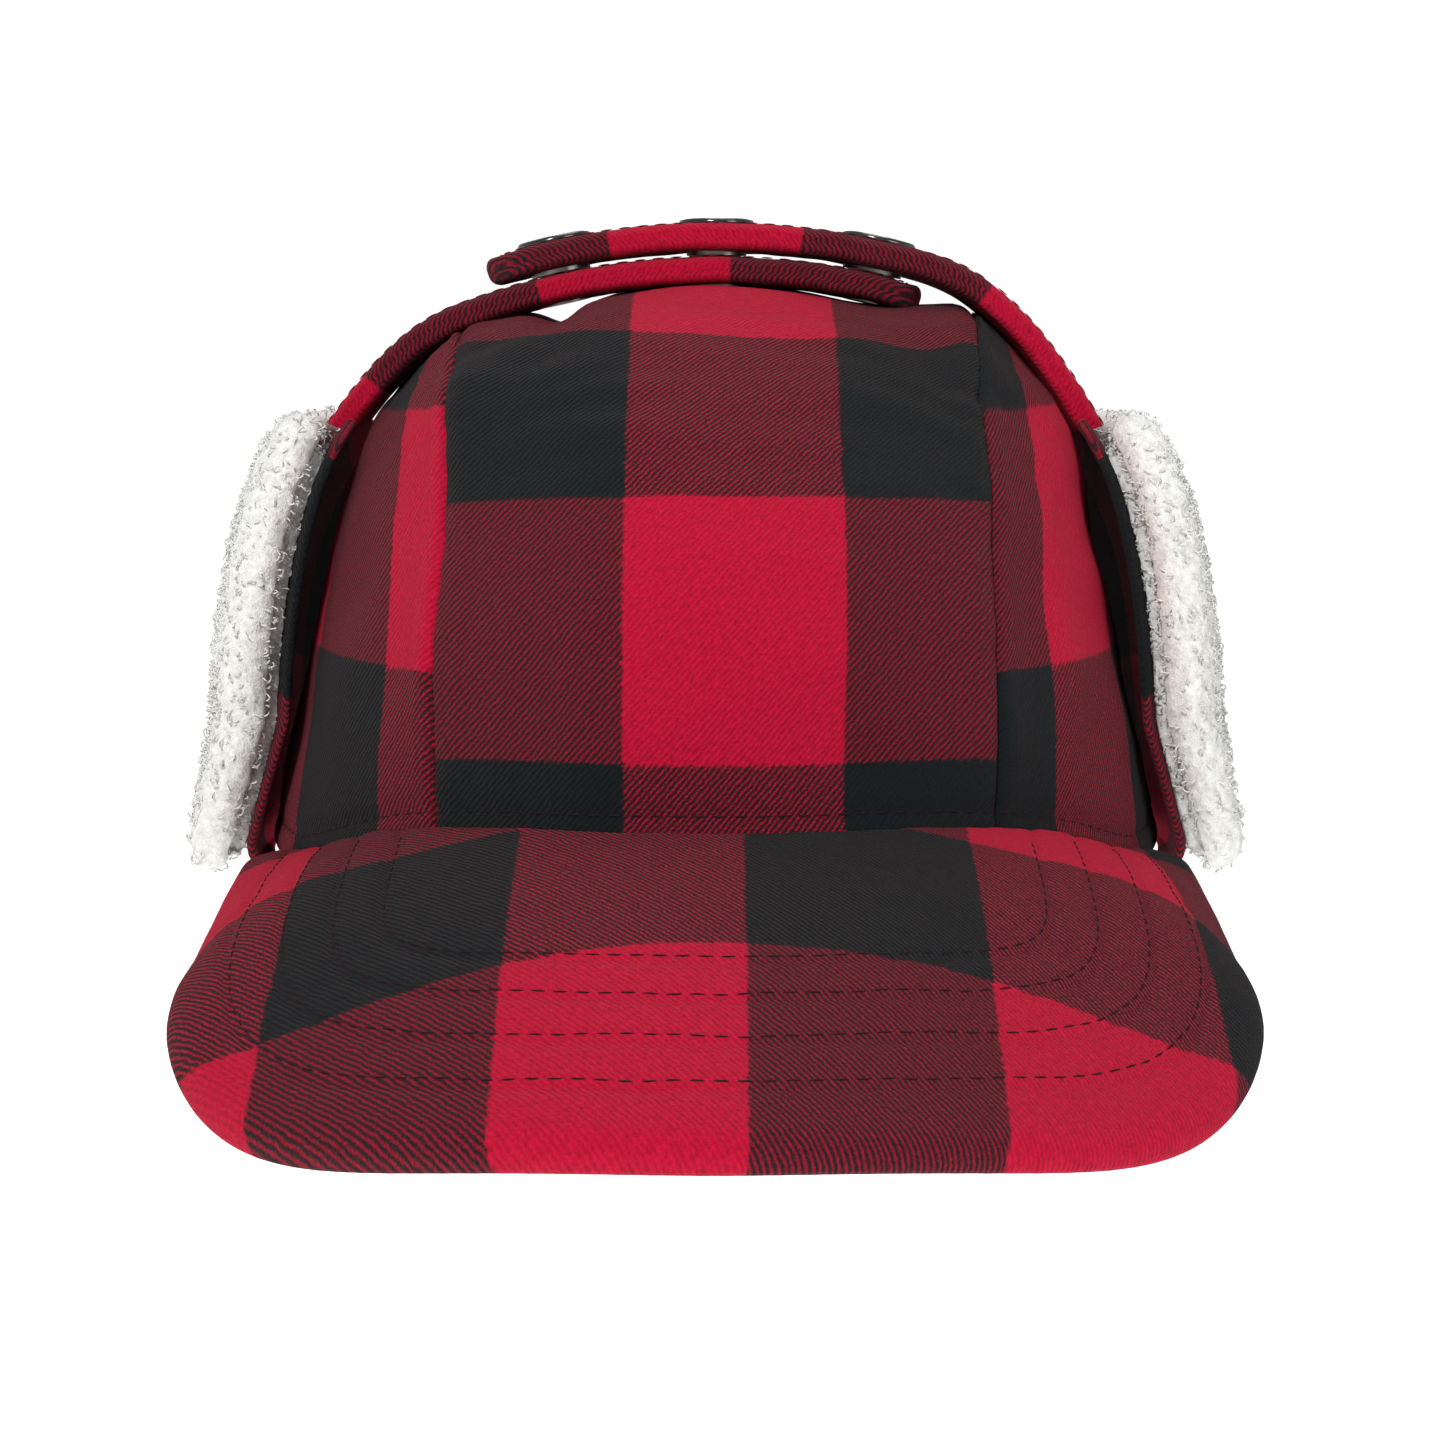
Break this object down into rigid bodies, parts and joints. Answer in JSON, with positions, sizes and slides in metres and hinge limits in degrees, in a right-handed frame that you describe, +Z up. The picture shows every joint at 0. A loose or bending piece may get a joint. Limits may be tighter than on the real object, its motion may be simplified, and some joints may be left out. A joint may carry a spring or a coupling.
{
  "type": "trapper hat",
  "caption": "Soft plaid wool hat with a stiff drooping visor and fleece ear flaps folded up, their straps crossing over the crown and closing with snaps.",
  "frame": {"origin": "centre of the head opening, in the plane of the rim at the sides and back", "axes": "+Z up through the crown, -Y towards the front edge of the visor, +X towards the wearer's left"},
  "size_m": [0.21, 0.299, 0.1519],
  "materials": {
    "wool": "brushed wool twill in a red and black buffalo plaid",
    "fleece": "deep curly fleece pile",
    "lining": "quilted satin",
    "sweatband": "woven tape",
    "board": "plain",
    "snap_cap": "glossy enamel",
    "snap_metal": "dark nickel"
  },
  "bodies": {
    "crown": {"crown_center_panel": "wool", "crown_left_panel": "wool", "crown_right_panel": "wool", "lining_center_panel": "lining", "lining_left_panel": "lining", "lining_right_panel": "lining", "sweatband": "sweatband", "visor_board": "board", "visor_top_cover": "wool", "visor_under_cover": "wool"},
    "left_flap": {"left_flap_shell": "wool", "left_flap_fleece": "fleece"},
    "right_flap": {"right_flap_shell": "wool", "right_flap_fleece": "fleece"},
    "left_strap": {"left_strap_root": "wool"},
    "left_strap_end": {"left_strap_tip": "wool", "snap_cap_1": "snap_cap", "snap_cap_2": "snap_cap", "snap_cap_3": "snap_cap", "snap_socket_1": "snap_metal", "snap_socket_2": "snap_metal", "snap_socket_3": "snap_metal"},
    "right_strap": {"right_strap_root": "wool", "right_strap_tip": "wool", "snap_stud_1": "snap_metal", "snap_stud_2": "snap_metal", "snap_stud_3": "snap_metal", "snap_post_1": "snap_metal", "snap_post_2": "snap_metal", "snap_post_3": "snap_metal"}
  },
  "joints": [
    {"name": "left_flap_fold", "type": "hinge", "parent": "crown", "child": "left_flap", "pos_m": [0.095, 0.01, -0.003], "axis": [0, 1, 0], "range_deg": [0, 160]},
    {"name": "right_flap_fold", "type": "hinge", "parent": "crown", "child": "right_flap", "pos_m": [-0.095, 0.01, -0.003], "axis": [0, -1, 0], "range_deg": [0, 160]},
    {"name": "left_strap_hang", "type": "hinge", "parent": "left_flap", "child": "left_strap", "pos_m": [0.0737, -0.004, 0.0879], "axis": [0, 1, 0], "range_deg": [0, 82]},
    {"name": "right_strap_hang", "type": "hinge", "parent": "right_flap", "child": "right_strap", "pos_m": [-0.0737, -0.004, 0.0879], "axis": [0, -1, 0], "range_deg": [0, 82]},
    {"name": "left_strap_peel", "type": "hinge", "parent": "left_strap", "child": "left_strap_end", "pos_m": [0.0452, -0.004, 0.1153], "axis": [0, 1, 0], "range_deg": [0, 100]}
  ],
  "couplings": [
    {"joint": "left_strap_hang", "follows": "left_flap_fold", "ratio": 0.5},
    {"joint": "right_strap_hang", "follows": "right_flap_fold", "ratio": 0.5}
  ]
}
